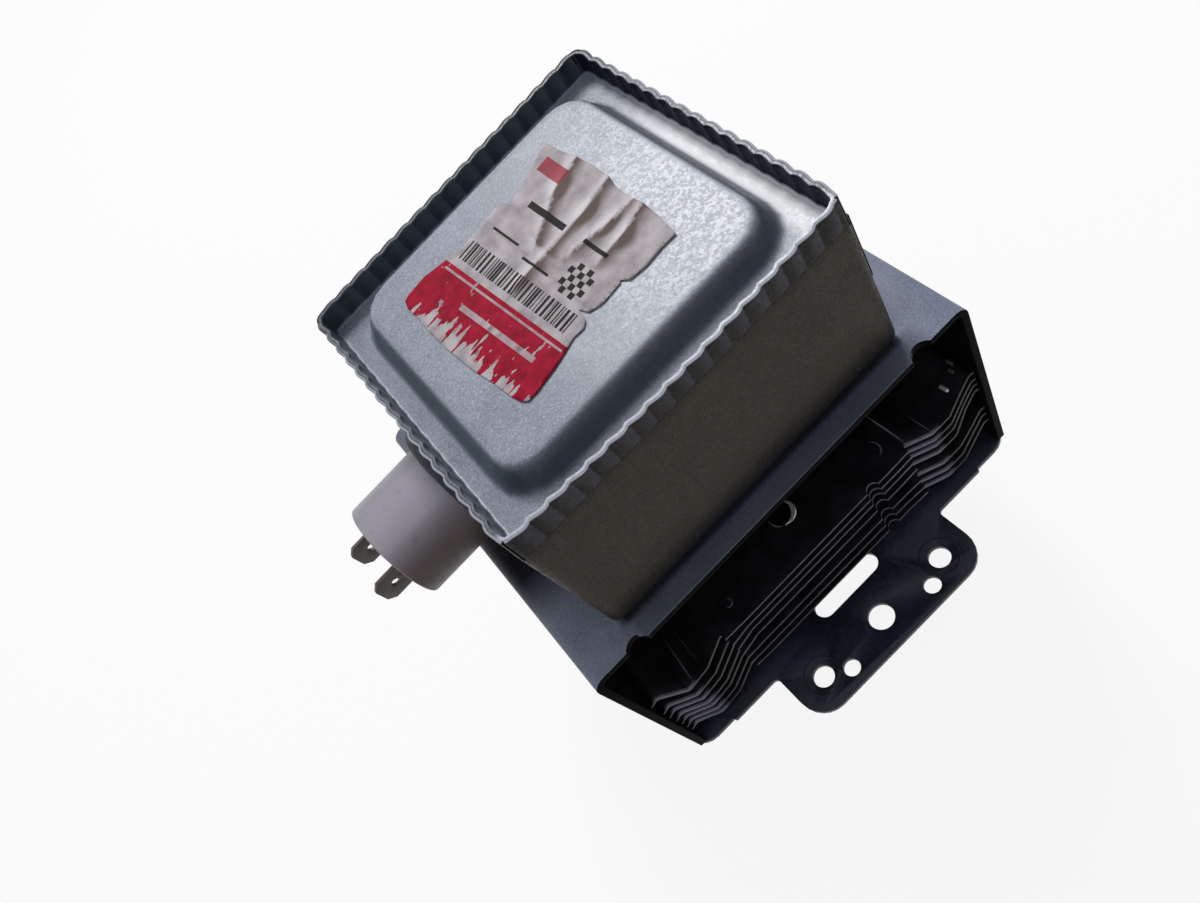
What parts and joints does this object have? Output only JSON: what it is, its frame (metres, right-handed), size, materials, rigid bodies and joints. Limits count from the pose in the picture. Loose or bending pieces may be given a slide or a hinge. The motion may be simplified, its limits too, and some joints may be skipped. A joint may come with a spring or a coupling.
{
  "type": "magnetron",
  "caption": "Oven magnetron: folded yoke with mounting flange and bent cooling fins, corrugated filter box with two-blade connector, ring magnets, vane anode and antenna.",
  "frame": {"origin": "centre of the mounting flange's waveguide face, on the tube axis", "axes": "+Z along the tube axis towards the filter box, antenna along -Z, connector towards -X, mounting tabs at -Y and +Y"},
  "size_m": [0.1112, 0.1112, 0.1236],
  "materials": {
    "zinc_plated_steel": "spangled zinc plate, satin",
    "shaded_zinc_steel": "dark zinc plate, satin",
    "knitted_steel_mesh": "knitted fine wire",
    "fin_aluminium": "thin rolled sheet",
    "ferrite": "ground hard ferrite",
    "copper": "bright oxygen-free copper",
    "enamelled_wire": "enamelled copper wire",
    "white_ceramic": "fired alumina",
    "lavender_plastic": "smooth satin moulding",
    "tinned_brass": "dull tin plate",
    "tungsten": "drawn refractory wire",
    "label_paper": "wrinkled coated paper"
  },
  "bodies": {
    "root": {"anode_cylinder": "copper", "anode_vane_01": "copper", "anode_vane_02": "copper", "anode_vane_03": "copper", "anode_vane_04": "copper", "anode_vane_05": "copper", "anode_vane_06": "copper", "anode_vane_07": "copper", "anode_vane_08": "copper", "anode_vane_09": "copper", "anode_vane_10": "copper", "antenna_cap": "zinc_plated_steel", "antenna_rod": "copper", "antenna_seal_cup": "zinc_plated_steel", "antenna_side_magnet": "ferrite", "antenna_side_pole_piece": "zinc_plated_steel", "blade_terminal_a": "tinned_brass", "blade_terminal_b": "tinned_brass", "capacitor_ceramic": "white_ceramic", "capacitor_collar": "zinc_plated_steel", "capacitor_tube": "lavender_plastic", "cathode_filament": "tungsten", "cathode_seal_cup": "zinc_plated_steel", "cathode_side_magnet": "ferrite", "cathode_side_pole_piece": "zinc_plated_steel", "cathode_stem_ceramic": "white_ceramic", "centre_lead": "tungsten", "choke_coil_a": "enamelled_wire", "choke_coil_b": "enamelled_wire", "cooling_fin_1": "fin_aluminium", "cooling_fin_2": "fin_aluminium", "cooling_fin_3": "fin_aluminium", "cooling_fin_4": "fin_aluminium", "cooling_fin_5": "fin_aluminium", "cooling_fin_6": "fin_aluminium", "cooling_fin_7": "fin_aluminium", "exhaust_tube": "copper", "ferrite_core_a": "ferrite", "ferrite_core_b": "ferrite", "filter_box": "zinc_plated_steel", "filter_box_lid": "zinc_plated_steel", "gasket_retainer": "zinc_plated_steel", "inner_strap_bottom": "copper", "inner_strap_top": "copper", "label": "label_paper", "lower_end_hat": "tungsten", "mounting_flange": "shaded_zinc_steel", "outer_strap_bottom": "copper", "outer_strap_top": "copper", "output_ceramic": "white_ceramic", "rf_mesh_gasket": "knitted_steel_mesh", "side_lead": "tungsten", "upper_end_hat": "tungsten", "yoke": "zinc_plated_steel"}
  },
  "joints": []
}
